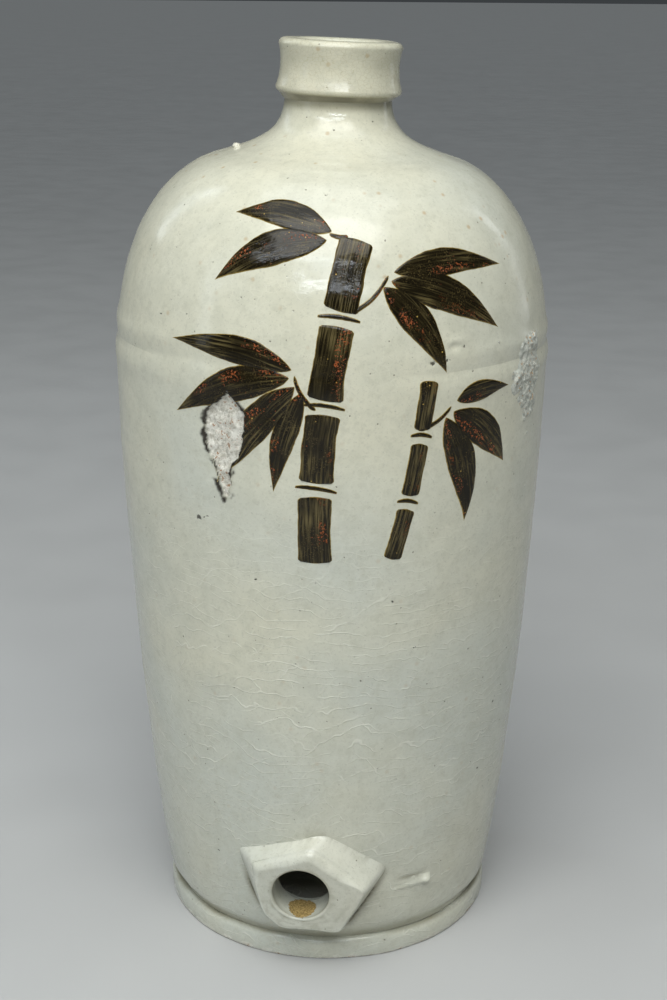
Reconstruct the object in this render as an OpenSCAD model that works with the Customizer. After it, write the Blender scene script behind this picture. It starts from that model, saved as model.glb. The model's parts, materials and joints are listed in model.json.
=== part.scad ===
// Large glazed stoneware sake bottle with a tap hole just above the foot.
// Thrown sections luted together: base, foot ring, lower wall, shoulder, neck and collar,
// with a pentagonal boss around the tap hole and a bamboo painted in iron glaze.
// Millimetres, +Z up. The origin is the centre of the face that the foot stands on.
// The tap hole faces -Y.

/* [Body] */
// Height from the standing face to the lip, along the axis
total_h = 380; // [372:1:390]
// Largest radius of the body
body_r = 91; // [89:0.5:93]
// Height of the widest place
widest_z = 252; // [246:1:256]
// Radius of the body just above the foot
heel_r = 73; // [72:0.5:74]
// Thickness of the body's wall
wall_t = 7.5; // [6.8:0.1:8]
// Height of the seam between the lower wall and the shoulder
seam_z = 262; // [258:1:266]
// Lean of everything above the seam towards +X, in degrees
lean = 1.2; // [0:0.1:1.5]

/* [Foot and base] */
// Height of the foot ring
foot_h = 7; // [6:0.5:8]
// Inner radius of the foot ring
foot_in_r = 58; // [54:1:60]
// Thickness of the base, from its recessed underside to the bottle's floor
base_t = 10; // [9:0.5:12]

/* [Neck and mouth] */
// Outer radius of the neck under the collar
neck_r = 22; // [21:0.5:22.5]
// Radius of the mouth's bore
mouth_r = 16; // [15:0.5:16.5]
// Height of the collar
collar_h = 23; // [21:0.5:24]
// Largest radius of the collar, at the bead along its lower edge
bead_r = 25.8; // [25.4:0.1:26.4]
// Extra tilt of the collar towards +X, in degrees
collar_tilt = 1.2; // [0:0.1:1.5]

/* [Tap boss] */
// Height of the tap hole's centre
tap_z = 39; // [38:0.5:41]
// Radius of the tap hole
tap_r = 12; // [10:0.5:12.5]
// Distance from the axis to the boss's front face at the height of the tap hole
boss_reach = 86; // [84.5:0.5:87]

/* [Painted bamboo] */
// Thickness of the iron glaze
paint_t = 0.6; // [0.4:0.1:1]
// Turn of the painting around the axis, from -Y towards +X, in degrees
paint_turn = 9; // [0:1:20]
// Width of the thick culm's brush stroke
culm_w = 13; // [10:0.5:14]
// Width of the thin culm's brush stroke
thin_culm_w = 7; // [5:0.5:8]

/* [Hidden] */

margin = 20;
steps = 12;
fine_sides = 480;

glaze = "#c9ccbf";
collar_glaze = "#c4bfa9";
bare_clay = "#b9a98d";
grit_clay = "#d3cdbd";
iron_glaze = "#1f1710";

// Foot and base
foot_r = heel_r;
foot_round = 1.4;
recess = 3;
floor_z = recess + base_t;
floor_r = foot_in_r + 3.5;
heel_round = 3.5;
heel_z = foot_h + heel_round;

// Shoulder and neck
shoulder_z = total_h - 46;
shoulder_r = 50;
shoulder_slope = 0.284;
collar_z = total_h - collar_h;
neck_t = neck_r - mouth_r;
tube_r = mouth_r + 3.5;
lip_t = 4;
lip_z = total_h - lip_t;
throat_z = collar_z - 3;

// Curves of the outer face: lower wall, shoulder and neck, each a cubic Bezier
wall_rise = widest_z - heel_z;
lower_curve = [
    [heel_r, heel_z],
    [heel_r + 0.55 * (body_r - heel_r), heel_z + 0.245 * wall_rise],
    [body_r, widest_z - 0.25 * wall_rise],
    [body_r, widest_z]];
upper_curve = [
    [body_r, widest_z],
    [body_r, widest_z + 0.56 * (shoulder_z - widest_z)],
    [shoulder_r + 23, shoulder_z - 23 * shoulder_slope],
    [shoulder_r, shoulder_z]];
neck_curve = [
    [shoulder_r, shoulder_z],
    [shoulder_r - 19, shoulder_z + 19 * shoulder_slope],
    [neck_r, collar_z - 12.5],
    [neck_r, collar_z]];

// Lap joint at the seam: a tongue on the lower wall stands in a groove in the shoulder
tongue_mid_r = body_r - 4.5;
tongue_t = 3;
tongue_h = 4;

// Tap boss: a five-sided face tapering out to a wider outline against the wall
wall_tilt = 6.5;
tenon_r = tap_r + 5;
boss_face = [[-22, 12], [6, 20], [27, 8.5], [16, -14], [-10, -12.5], [-12.5, -10.5]];
boss_foot = [[-27, 12], [7, 25], [33, 6.5], [16.5, -16], [-12, -15.5], [-14.5, -13]];
boss_depth = 16;
face_t = 0.5;

// Chip in the glaze of the lower wall: [turn around the axis, height, depth]
chip_ball_r = 30;
chip_scoops = [[-17.5, 246, 1.5], [-20, 234, 1.7], [-18.5, 220, 0.8]];

// Painted bamboo, as [across, height] points on a flat face in front of the bottle
culm = [[-8, 185], [8, 314]];
culm_bow = 5;
culm_joints = [0, 0.25, 0.5, 0.76, 1];
thin_culm = [[21, 186], [35, 262]];
thin_culm_bow = -2;
thin_culm_joints = [0, 0.34, 0.68, 1];
joint_gap = 5;
seam_crack = 0.3;
ring_w = 2;
twig_w = 2.2;
// Each leaf is [base, tip, width, bow]
leaves = [
    [[21, 300], [64, 300], 10, 3],
    [[20, 297], [63, 277], 13, 4],
    [[17, 295], [42, 262], 12, 3],
    [[-17, 264], [-63, 270], 11, -3],
    [[-18, 261], [-62, 243], 13, -4],
    [[-16, 258], [-46, 217], 13, -3],
    [[-13, 256], [-24, 216], 10, -2],
    [[-2, 314], [-38, 318], 10, -3],
    [[-4, 311], [-46, 294], 12, -4],
    [[46, 250], [68, 252], 9, 2],
    [[45, 246], [67, 221], 13, 3],
    [[42, 244], [51, 200], 12, 3]];
// Each twig is [start on the culm, end at the leaves, bow]
twigs = [
    [[6, 286], [19, 299], -1.5],
    [[-8, 249], [-16, 262], 1.5],
    [[4, 312], [-3, 313], 0.5],
    [[31, 240], [44, 248], -1.5]];

// Point on a cubic curve, and the unit normal to its left
function bezier(p, t) =
    pow(1 - t, 3) * p[0] + 3 * pow(1 - t, 2) * t * p[1] + 3 * (1 - t) * t * t * p[2] + pow(t, 3) * p[3];
function bezier_run(p, t) =
    pow(1 - t, 2) * (p[1] - p[0]) + 2 * (1 - t) * t * (p[2] - p[1]) + t * t * (p[3] - p[2]);
function left_of(v) = [-v.y, v.x] / norm(v);
function mix(a, b, t) = a + t * (b - a);
function arc(centre, r, from, to, n = 6) =
    [for (i = [0:n]) centre + r * [cos(mix(from, to, i / n)), sin(mix(from, to, i / n))]];

// Points of a curve from fraction `from` to `to`, moved `d` to the left
function along(p, from, to, d_from = 0, d_to = 0) =
    [for (i = [0:steps]) let (t = mix(from, to, i / steps))
        bezier(p, t) + mix(d_from, d_to, i / steps) * left_of(bezier_run(p, t))];

// Outline of a brush stroke from a to b, bowed to its left, with half width w(t)
function bowed(a, b, bow, t) = mix(a, b, t) + 4 * bow * t * (1 - t) * left_of(b - a);
function leaf_half(w, t) = w / 2 * sin(180 * pow(t, 0.75));
function culm_half(w, t) = w / 2 * (1 + 0.1 * pow(2 * t - 1, 4));
function stroke(a, b, bow, halves) =
    let (n = len(halves) - 1)
    concat([for (i = [0:n]) bowed(a, b, bow, i / n) + halves[i] * left_of(b - a)],
        [for (i = [n:-1:0]) bowed(a, b, bow, i / n) - halves[i] * left_of(b - a)]);

module rounded_turn(points, sides = 96) {
    rotate_extrude($fn = sides) polygon(points);
}

// Everything above the seam leans about the seam's centre
module leaning() {
    translate([0, 0, seam_z]) rotate([0, lean, 0]) translate([0, 0, -seam_z]) children();
}

// Whole body shell, from the heel to the edge of the shoulder's opening, standing upright
module body_shell() {
    rounded_turn(concat(
        arc([heel_r - heel_round, heel_z], heel_round, -90, 0),
        along(lower_curve, 0.02, 1),
        along(upper_curve, 0.05, 1),
        along(upper_curve, 1, 0.05, neck_t, wall_t),
        along(lower_curve, 1, 0.1, wall_t, wall_t),
        [[floor_r, floor_z], [floor_r, foot_h]]));
}

module tongue(from_z) {
    translate([0, 0, from_z]) difference() {
        cylinder(h = seam_z + tongue_h - from_z, r = tongue_mid_r + tongue_t / 2, $fn = 96);
        translate([0, 0, -1]) cylinder(h = margin, r = tongue_mid_r - tongue_t / 2, $fn = 96);
    }
}

module tap_bore() {
    translate([0, -body_r - margin, tap_z]) rotate([-90, 0, 0])
        cylinder(h = body_r + margin, r = tap_r, $fn = 64);
}

module tap_tenon() {
    translate([0, -body_r, tap_z]) rotate([-90, 0, 0]) rotate([0, 0, -90])
        cylinder(h = body_r - 40, r = tenon_r, $fn = 5);
}

module chip() {
    for (scoop = chip_scoops)
        rotate([0, 0, scoop[0]])
            translate([0, -(body_r - scoop[2] + chip_ball_r - 0.6), scoop[1]])
                sphere(r = chip_ball_r, $fn = 64);
}

// Solid inside of the outer face of the lower wall
module lower_solid(sides = 96) {
    rounded_turn(concat([[0, foot_h]],
        arc([heel_r - heel_round, heel_z], heel_round, -90, 0),
        along(lower_curve, 0.02, 1), [[0, widest_z]]), sides);
}

module lower_hollow() {
    rounded_turn(concat([[0, floor_z], [floor_r, floor_z]],
        along(lower_curve, 0.1, 1, wall_t, wall_t), [[0, widest_z]]));
}

module base_disc() {
    color(bare_clay) rounded_turn([
        [0, recess], [foot_in_r, recess], [foot_in_r, foot_h],
        [floor_r, foot_h], [floor_r, floor_z], [0, floor_z]]);
}

module foot_ring() {
    color(glaze) rounded_turn(concat([[foot_in_r, 0]],
        arc([foot_r - foot_round, foot_round], foot_round, -90, 0),
        arc([foot_r - foot_round, foot_h - foot_round], foot_round, 0, 90),
        [[foot_in_r, foot_h]]));
}

module lower_wall() {
    color(glaze) difference() {
        union() {
            intersection() {
                body_shell();
                cylinder(h = seam_z, r = body_r + margin, $fn = 96);
            }
            tongue(seam_z - 4);
        }
        tap_tenon();
        chip();
    }
}

module shoulder_wall() {
    color(glaze) difference() {
        leaning() body_shell();
        cylinder(h = seam_z, r = body_r + margin, $fn = 96);
        tongue(seam_z - 4);
    }
}

module neck_tube() {
    color(glaze) leaning() rounded_turn(concat(
        along(neck_curve, 0, 1),
        [[tube_r, collar_z], [tube_r, lip_z], [mouth_r, lip_z], [mouth_r, throat_z]],
        along(neck_curve, 0.7, 0, neck_t, neck_t)));
}

// Collar: a bead along the lower edge, a hollow waist, and a lip that closes over the neck
module mouth_collar() {
    bead_round = 3.5;
    waist_r = bead_r - 1.7;
    flare_r = bead_r - 0.7;
    lip_round = 3;
    waist_curve = [[bead_r - 0.6, collar_z + 6], [waist_r, collar_z + 9],
        [waist_r - 0.3, collar_h * 0.7 + collar_z], [flare_r, lip_z + lip_t - lip_round]];
    color(collar_glaze) leaning() difference() {
        translate([0, 0, collar_z]) rotate([0, collar_tilt, 0]) translate([0, 0, -collar_z])
            rounded_turn(concat([[mouth_r - 1, collar_z]],
                arc([bead_r - bead_round, collar_z + bead_round], bead_round, -90, 30),
                along(waist_curve, 0, 1),
                arc([flare_r - lip_round, total_h - lip_round], lip_round, 15, 90, 5),
                [[mouth_r - 1, total_h]]));
        translate([0, 0, collar_z - 1]) cylinder(h = collar_h - lip_t + 1, r = tube_r, $fn = 96);
        translate([0, 0, collar_z]) cylinder(h = collar_h + margin, r = mouth_r, $fn = 96);
    }
}

module boss_outline(points) {
    linear_extrude(face_t) polygon(points);
}

module tap_boss() {
    color(glaze) difference() {
        union() {
            difference() {
                translate([0, -boss_reach, tap_z]) rotate([90 - wall_tilt, 0, 0]) hull() {
                    translate([0, 0, -face_t]) boss_outline(boss_face);
                    translate([0, 0, -boss_depth]) boss_outline(boss_foot);
                }
                lower_solid();
            }
            difference() {
                intersection() {
                    tap_tenon();
                    lower_solid();
                }
                lower_hollow();
            }
        }
        tap_bore();
    }
}

// Roll of wet clay dragged along the wall beside the boss, thicker at its far end
module clay_smear() {
    smear_l = 19;
    thin_end = 1.4;
    thick_end = 2.6;
    color(glaze) difference() {
        rotate([0, 0, 34]) translate([-smear_l / 2, -76, 31]) rotate([0, 68, 0]) union() {
            sphere(r = thin_end, $fn = 64);
            cylinder(h = smear_l, r1 = thin_end, r2 = thick_end, $fn = 64);
            translate([0, 0, smear_l]) sphere(r = thick_end, $fn = 64);
        }
        lower_solid(fine_sides);
    }
}

// Kiln grit fused to the wall below the seam: [turn around the axis, height, radius]
module kiln_crust() {
    grains = [[62, 258, 3.2], [65.5, 253, 3.6], [62, 248.5, 3], [67, 244, 3.4], [64.5, 238, 2.6]];
    color(grit_clay) difference() {
        for (grain = grains)
            rotate([0, 0, grain[0]]) translate([0, 0.7 * grain[2] - body_r, grain[1]])
                sphere(r = grain[2], $fn = 64);
        cylinder(h = seam_z, r = body_r - 0.3, $fn = fine_sides);
    }
}

// Drop of glaze that fell on the shoulder's edge in the kiln
module shoulder_drip() {
    drip_r = 3;
    color(glaze) leaning() difference() {
        rotate([0, 0, -78]) translate([0, -41, shoulder_z + 2.5]) sphere(r = drip_r, $fn = 96);
        rounded_turn(concat([[0, shoulder_z - 12], [shoulder_r, shoulder_z - 12]],
            along(neck_curve, 0, 1), [[0, collar_z]]));
    }
}

// Skin of iron glaze over the lower wall and the leaning shoulder, cracked along the seam
module skin(curve, from, to) {
    rounded_turn(concat(along(curve, from, to, -paint_t, -paint_t), along(curve, to, from, 0, 0)));
}

module paint_skin() {
    intersection() {
        union() {
            skin(lower_curve, 0.5, 1);
            skin(upper_curve, 0, 0.4);
        }
        cylinder(h = seam_z - seam_crack / 2, r = body_r + margin, $fn = 96);
    }
    difference() {
        leaning() skin(upper_curve, 0, 0.9);
        cylinder(h = seam_z + seam_crack / 2, r = body_r + margin, $fn = 96);
    }
}

// Flat brush strokes laid on the front of the skin
module painted() {
    color(iron_glaze) difference() {
        intersection() {
            paint_skin();
            rotate([0, 0, paint_turn]) translate([0, -20, 0]) rotate([90, 0, 0])
                linear_extrude(body_r) children();
        }
        chip();
    }
}

// The strokes of a culm between one joint and the next
module culm_strokes(ends, bow, joints, w) {
    gap = joint_gap / norm(ends[1] - ends[0]) / 2;
    for (i = [0:len(joints) - 2]) {
        from = bowed(ends[0], ends[1], bow, joints[i] + gap);
        to = bowed(ends[0], ends[1], bow, joints[i + 1] - gap);
        polygon(stroke(from, to, bow / 12, [for (t = [0:0.125:1]) culm_half(w, t)]));
    }
}

module ring_strokes(ends, bow, joints, w) {
    across = 0.62 * w * left_of(ends[1] - ends[0]);
    for (i = [1:len(joints) - 2]) {
        middle = bowed(ends[0], ends[1], bow, joints[i]);
        polygon(stroke(middle + across, middle - across, 0.8, [for (t = [0:0.25:1]) ring_w / 2]));
    }
}

module leaf_strokes() {
    for (leaf = leaves)
        polygon(stroke(leaf[0], leaf[1], leaf[3], [for (t = [0:0.1:1]) leaf_half(leaf[2], t)]));
}

module painted_culms() {
    painted() {
        culm_strokes(culm, culm_bow, culm_joints, culm_w);
        culm_strokes(thin_culm, thin_culm_bow, thin_culm_joints, thin_culm_w);
    }
}

module painted_culm_rings() {
    painted() {
        ring_strokes(culm, culm_bow, culm_joints, culm_w);
        ring_strokes(thin_culm, thin_culm_bow, thin_culm_joints, thin_culm_w);
    }
}

module painted_leaves() {
    painted() leaf_strokes();
}

module painted_twigs() {
    painted() difference() {
        for (twig = twigs)
            polygon(stroke(twig[0], twig[1], twig[2], [for (t = [0:0.25:1]) twig_w / 2]));
        leaf_strokes();
        culm_strokes(culm, culm_bow, culm_joints, culm_w);
        culm_strokes(thin_culm, thin_culm_bow, thin_culm_joints, thin_culm_w);
        ring_strokes(culm, culm_bow, culm_joints, culm_w);
        ring_strokes(thin_culm, thin_culm_bow, thin_culm_joints, thin_culm_w);
    }
}

base_disc();
foot_ring();
lower_wall();
shoulder_wall();
neck_tube();
mouth_collar();
tap_boss();
clay_smear();
kiln_crust();
shoulder_drip();
painted_culms();
painted_culm_rings();
painted_twigs();
painted_leaves();
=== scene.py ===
import json
import math

import bmesh
import bpy
import numpy as np
from mathutils import Matrix, Vector


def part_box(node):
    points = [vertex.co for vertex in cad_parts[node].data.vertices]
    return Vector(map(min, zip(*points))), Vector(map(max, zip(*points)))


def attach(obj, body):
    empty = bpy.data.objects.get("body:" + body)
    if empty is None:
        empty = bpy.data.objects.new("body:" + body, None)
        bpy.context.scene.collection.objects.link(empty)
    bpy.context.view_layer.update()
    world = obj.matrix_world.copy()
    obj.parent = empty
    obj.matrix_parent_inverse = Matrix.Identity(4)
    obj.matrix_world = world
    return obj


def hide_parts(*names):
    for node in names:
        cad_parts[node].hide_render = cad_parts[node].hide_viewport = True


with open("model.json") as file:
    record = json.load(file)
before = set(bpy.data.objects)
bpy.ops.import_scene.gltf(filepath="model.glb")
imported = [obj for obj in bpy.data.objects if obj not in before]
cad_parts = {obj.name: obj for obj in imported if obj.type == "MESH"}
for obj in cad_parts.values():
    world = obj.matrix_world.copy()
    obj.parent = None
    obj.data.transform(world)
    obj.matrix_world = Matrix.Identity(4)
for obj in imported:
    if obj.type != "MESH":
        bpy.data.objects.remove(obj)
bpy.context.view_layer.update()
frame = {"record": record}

# Lengths are in millimetres and angles in radians until a mesh is made. Azimuth 0 is -Y,
# where the tap hole faces, and it grows towards +X.
MM = 0.001


def corners_mm(node):
    low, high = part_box(node)
    return np.array(low) / MM, np.array(high) / MM


def mix(a, b, t):
    return a + (b - a) * t


def smooth(low, high, x):
    """0 at low, 1 at high and an eased step between; low may be the larger."""
    t = np.clip((np.asarray(x, float) - low) / (high - low), 0, 1)
    return t * t * (3 - 2 * t)


def bell(x, centre, width):
    return np.exp(-((x - centre) / width) ** 2)


# ---- sizes, from the frame and, where it doesn't hold them, as in the CAD

MOUNTS = {m["name"]: m for m in frame["record"]["mounts"]}
MOUTH, TAP = MOUNTS["mouth"], MOUNTS["tap_hole"]
MOUTH_R, TAP_R = MOUTH["dims"]["r_mm"], TAP["dims"]["r_mm"]
TAP_Z = TAP["pos_m"][2] / MM
CUT_R = TAP_R + 1.2
LEAN = math.atan2(MOUTH["axis"][0], MOUTH["axis"][2])
FOOT_R, FOOT_H = corners_mm("foot_ring")[1][[0, 2]]
FLOOR_R, FLOOR_Z = corners_mm("base_disc")[1][[0, 2]]
RECESS = corners_mm("base_disc")[0][2]
FOOT_IN_R = FLOOR_R - 3.5
BODY_R = corners_mm("lower_wall")[1][0]
SEAM_Z = corners_mm("shoulder_wall")[0][2]
BOSS_REACH = 86
TOTAL_H = 380
WIDEST_Z = 252
HEEL_ROUND = 3.5
RIM_Z = FOOT_H + 2.7
HEEL_Z = FOOT_H + HEEL_ROUND
SHOULDER_R, SHOULDER_Z, SHOULDER_SLOPE = 50, TOTAL_H - 46, 0.284
COLLAR_Z, COLLAR_TILT, BEAD_R = TOTAL_H - 23, math.radians(1.2), 25.8
LIP_T = 4
NECK_R = MOUTH_R + 6
TUBE_R = MOUTH_R + 3.5
WALL_T, NECK_T = 7.5, 6
WALL_TILT = math.radians(6.5)
PAINT_TURN = math.radians(9)

# ---- noise

RNG = np.random.default_rng(11)
HASH = RNG.permutation(256)
SLOPES = RNG.normal(size=(256, 3))
SLOPES /= np.linalg.norm(SLOPES, axis=1)[:, None]


def noise(p, size, octaves=1):
    """Smooth noise from about -1 to 1 at points p (..., 3), with features `size` long."""
    p = np.asarray(p, float) / size
    total, strength = 0, 1
    for _ in range(octaves):
        cell = np.floor(p).astype(int)
        f = p - cell
        ease = f * f * f * (f * (f * 6 - 15) + 10)
        value = 0
        for corner in np.ndindex(2, 2, 2):
            c = np.array(corner)
            ids = (cell + c) & 255
            h = HASH[(HASH[(HASH[ids[..., 0]] + ids[..., 1]) & 255] + ids[..., 2]) & 255]
            weight = np.prod(np.where(c, ease, 1 - ease), axis=-1)
            value = value + weight * (SLOPES[h] * (f - c)).sum(-1)
        total = total + strength * value * 1.6
        p, strength = p * 2.03 + 17.3, strength * 0.5
    return total


def noise_line(x, size, seed, octaves=1):
    x = np.asarray(x, float)
    return noise(xyz(x, seed * 31.7, 5.1), size, octaves)


# ---- profile

def bezier(p, t):
    t = np.asarray(t, float)[:, None]
    p = np.asarray(p, float)
    return (1 - t) ** 3 * p[0] + 3 * (1 - t) ** 2 * t * p[1] + 3 * (1 - t) * t * t * p[2] + t ** 3 * p[3]


def arc(centre, radius, start, end, count=7):
    a = np.radians(np.linspace(start, end, count))
    return np.array(centre) + radius * np.stack([np.cos(a), np.sin(a)], -1)


RISE = WIDEST_Z - HEEL_Z
LOWER_CURVE = [
    (FOOT_R, HEEL_Z),
    (FOOT_R + 0.55 * (BODY_R - FOOT_R), HEEL_Z + 0.245 * RISE),
    (BODY_R, WIDEST_Z - 0.25 * RISE),
    (BODY_R, WIDEST_Z)]
UPPER_CURVE = [
    (BODY_R, WIDEST_Z),
    (BODY_R, WIDEST_Z + 0.56 * (SHOULDER_Z - WIDEST_Z)),
    (SHOULDER_R + 23, SHOULDER_Z - 23 * SHOULDER_SLOPE),
    (SHOULDER_R, SHOULDER_Z)]
NECK_CURVE = [
    (SHOULDER_R, SHOULDER_Z),
    (SHOULDER_R - 19, SHOULDER_Z + 19 * SHOULDER_SLOPE),
    (NECK_R, COLLAR_Z - 12.5),
    (NECK_R, COLLAR_Z)]
CURVE_STEPS = np.linspace(0, 1, 400)


class Profile:
    """The outer line of the bottle from the groove above the foot to the collar, by arc length."""

    def __init__(self):
        heel = arc((FOOT_R - HEEL_ROUND, HEEL_Z), HEEL_ROUND, -90, -8, 12)
        curves = [bezier(c, CURVE_STEPS[1:]) for c in (LOWER_CURVE, UPPER_CURVE, NECK_CURVE)]
        line = np.vstack([heel] + curves)
        gaps = np.linalg.norm(np.diff(line, axis=0), axis=1)
        self.s = np.concatenate([[0], np.cumsum(gaps)])
        self.line = line
        run = np.gradient(line, self.s, axis=0)
        run /= np.linalg.norm(run, axis=1)[:, None]
        self.normal = np.stack([run[:, 1], -run[:, 0]], -1)

    def at(self, s):
        """Radius, height and outward normal at arc lengths s."""
        columns = (self.line[:, 0], self.line[:, 1], self.normal[:, 0], self.normal[:, 1])
        return [np.interp(s, self.s, c) for c in columns]

    def s_at(self, z):
        return np.interp(z, self.line[:, 1], self.s)


PROFILE = Profile()
SEAM_S = float(PROFILE.s_at(SEAM_Z))
OPENING_S = float(PROFILE.s_at(SHOULDER_Z))
COLLAR_S = float(PROFILE.s_at(COLLAR_Z))


def leaned(p):
    """Tilts what stands above the seam about the seam's centre, easing in around the seam."""
    x, y, z = p[..., 0], p[..., 1], p[..., 2]
    angle = LEAN * smooth(SEAM_Z - 12, SEAM_Z + 8, z)
    rise = z - SEAM_Z
    return xyz(x * np.cos(angle) + rise * np.sin(angle), y, SEAM_Z + rise * np.cos(angle) - x * np.sin(angle))


def xyz(x, y, z):
    return np.stack(np.broadcast_arrays(x, y, z), -1)


def around(r, az, z):
    return xyz(r * np.sin(az), -r * np.cos(az), z)


# ---- relief of the thrown wall

# Edges of the chip, as height, left and right across the wall from the chip's middle
CHIP_AZ = math.radians(-19.3)
CHIP_EDGES = np.array([
    (211, 0.6, 0.8), (213, -0.8, 1.6), (217, -2.6, 2.8), (221, -3.4, 1.6), (225, -4.6, 3), (228, -6.6, 5.6),
    (233, -8.2, 7.4), (240, -8.6, 8.4), (245, -7.8, 8.8), (249, -3.4, 6.2), (252, 0.4, 3.6), (254, 1.6, 2)])
CHIP_DEPTH = 1.3

# Small marks in the glaze: azimuth in degrees, height, half width, half height and rise
MARKS = [
    (39, 272, 2.4, 1.4, -1.1), (39.8, 273.6, 4.2, 2.4, 0.6), (32.7, 266.3, 1.7, 0.8, -0.5),
    (36.2, 267.2, 1.3, 0.8, -0.4), (53.3, 271, 0.9, 0.8, 0.6),
    (66.3, 235, 1.3, 1.1, 0.6), (69, 228, 1.1, 0.9, 0.4), (39.7, 231.5, 0.8, 0.7, 0.4),
    (-11.6, 178.8, 0.7, 0.7, -0.4), (23.7, 170.4, 0.8, 0.8, -0.5), (-29.2, 47, 0.8, 0.8, -0.5),
    (59.2, 80.8, 0.8, 0.8, -0.5), (63.2, 110.9, 0.7, 0.7, -0.4), (-57.9, 62.2, 0.7, 0.7, -0.4),
    (45.2, 137.4, 0.7, 0.6, 0.4), (118, 205, 2.2, 1.4, -0.4), (196, 148, 1.6, 1.2, 0.5),
    (-104, 236, 1.5, 1.3, 0.5), (152, 92, 1.1, 1, -0.5), (-150, 190, 0.9, 0.8, -0.5)]

# Dark marks in the glaze: azimuth in degrees, height and half width
DARK_MARKS = [
    (32.6, 266.2, 1.2), (36.3, 267, 0.9), (34.4, 268.4, 0.45), (-27.6, 201, 1.25), (-26, 201.6, 0.55),
    (-24.9, 202.2, 0.45), (-24.9, 196.5, 0.35), (4.3, 326, 0.5), (44, 349.5, 0.6), (-11.6, 178.8, 0.75),
    (23.7, 170.4, 0.7), (-29.2, 47, 0.75), (59.2, 80.8, 0.7), (63.2, 110.9, 0.65), (-57.9, 62.2, 0.6),
    (-1.4, 144, 0.4), (30.7, 149, 0.5), (-40.9, 278, 0.6), (-31.5, 280, 0.5), (41.6, 272, 0.4),
    (68.8, 133, 0.55), (48.5, 142.5, 0.45), (152, 92, 0.8), (-150, 190, 0.7), (-98, 150, 0.7),
    (112, 120, 0.6)]

# Small pale blisters, given in the same way
LIGHT_MARKS = [
    (66.3, 235, 1.15), (68.9, 228.6, 0.8), (53.3, 271, 0.8), (39.7, 231.5, 0.7), (70.5, 205, 0.7),
    (45.2, 137.4, 0.6), (-42, 222, 0.6), (-47.5, 218, 0.7), (-60, 236, 0.5), (120, 240, 0.9)]


def span(az, az0):
    """Signed angle from az0 to az."""
    return (az - az0 + math.pi) % (2 * math.pi) - math.pi


def chip_inside(az, s):
    """How deep a point lies inside the chip's ragged outline, in millimetres; negative outside."""
    r, z, _, _ = PROFILE.at(s)
    across = r * span(az, CHIP_AZ)
    left = np.interp(z, CHIP_EDGES[:, 0], CHIP_EDGES[:, 1])
    right = np.interp(z, CHIP_EDGES[:, 0], CHIP_EDGES[:, 2])
    ends = np.minimum(z - CHIP_EDGES[0, 0], CHIP_EDGES[-1, 0] - z)
    ragged = 0.9 * noise(xyz(across, z, 0), 3.1, 3)
    near = (np.abs(across) < 16) & (ends > -5)
    return np.where(near, np.minimum(np.minimum(across - left, right - across), ends) + ragged, -9)


def chip_rim(az, s):
    """The dark broken edge left round the upper part of the chip."""
    r, z, _, _ = PROFILE.at(s)
    inside = chip_inside(az, s)
    ragged = noise(around(r, az, z), 5, 2) + 0.5 * smooth(222, 236, z) - 0.1
    rim = smooth(-2.6, -1.2, inside) * (1 - smooth(-0.1, 0.25, inside))
    return rim * smooth(-0.12, 0.12, ragged)


def relief(az, s):
    """Height of the glazed surface over the true profile: throwing rings, lumps, seam and marks."""
    r, z, _, _ = PROFILE.at(s)
    p = around(r, az, z)
    wobble = 3 * noise(p, 90)
    rings = 0.09 * noise_line(z + wobble, 9, 3, 2) + 0.1 * noise_line(z + wobble, 26, 4)
    rings = rings + 0.16 * smooth(60, 44, r) * noise_line(r + 0.3 * wobble, 5, 8) * (z > SEAM_Z)
    lumps = 0.38 * noise(p * (1, 1, 0.6), 48, 2) + 0.11 * noise(p * (0.7, 0.7, 1), 14, 2)
    seam_gap = z - SEAM_Z - 2.2 * noise(p, 70) - 0.6 * noise(p, 14)
    seam = 0.34 * bell(seam_gap, -6, 4.5) - 0.22 * bell(seam_gap, 0, 1.6) + 0.3 * bell(seam_gap, 6.5, 3.5)
    fade = smooth(0, 6, s) * (1 - smooth(COLLAR_S - 14, COLLAR_S - 6, s))
    seam = seam * (0.6 + 0.5 * noise(p, 40) + 1.3 * smooth(0.45, 0.85, np.abs(np.sin(az))))
    total = (rings + lumps + seam) * fade
    for az0, z0, half_w, half_h, rise in MARKS:
        q = (r * span(az, math.radians(az0)) / half_w) ** 2 + ((z - z0) / half_h) ** 2
        total = total + rise * np.exp(-q)
    total = total + smear_groove(az, r, z) - 0.75 * boss_crease(az, r, z)
    total = total - 2.5 * (1 - smooth(RIM_Z - 0.2, RIM_Z + 8, z + 0.6 * noise(p, 30)))
    inside = chip_inside(az, s)
    crumbs = 0.45 * noise(p, 4) + 0.22 * noise(p + 40, 2.1)
    floor = -CHIP_DEPTH + crumbs - 0.3 * smooth(0, 5, inside) + 0.3 * smooth(0.2, 0.6, noise(p, 5))
    return mix(total, total * 0.3 + floor, smooth(-0.1, 0.3, inside))


def smear_groove(az, r, z):
    """A shallow scratch just above the clay smear beside the boss."""
    across = r * span(az, math.radians(35.5))
    rise = z - (38.6 + 0.1 * across)
    return -0.55 * bell(rise, 0, 0.8) * smooth(-11, -2, across) * (1 - smooth(5, 8, across))


BOSS_FACE = [(-21.5, 12.8), (5, 22), (28, 4.2), (16.6, -18.3), (-9.5, -18), (-16.5, -11)]
BOSS_FOOT = [(-29, 13.5), (10, 26), (35.5, 7), (18, -21), (-12, -20.5), (-20, -13)]


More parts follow.
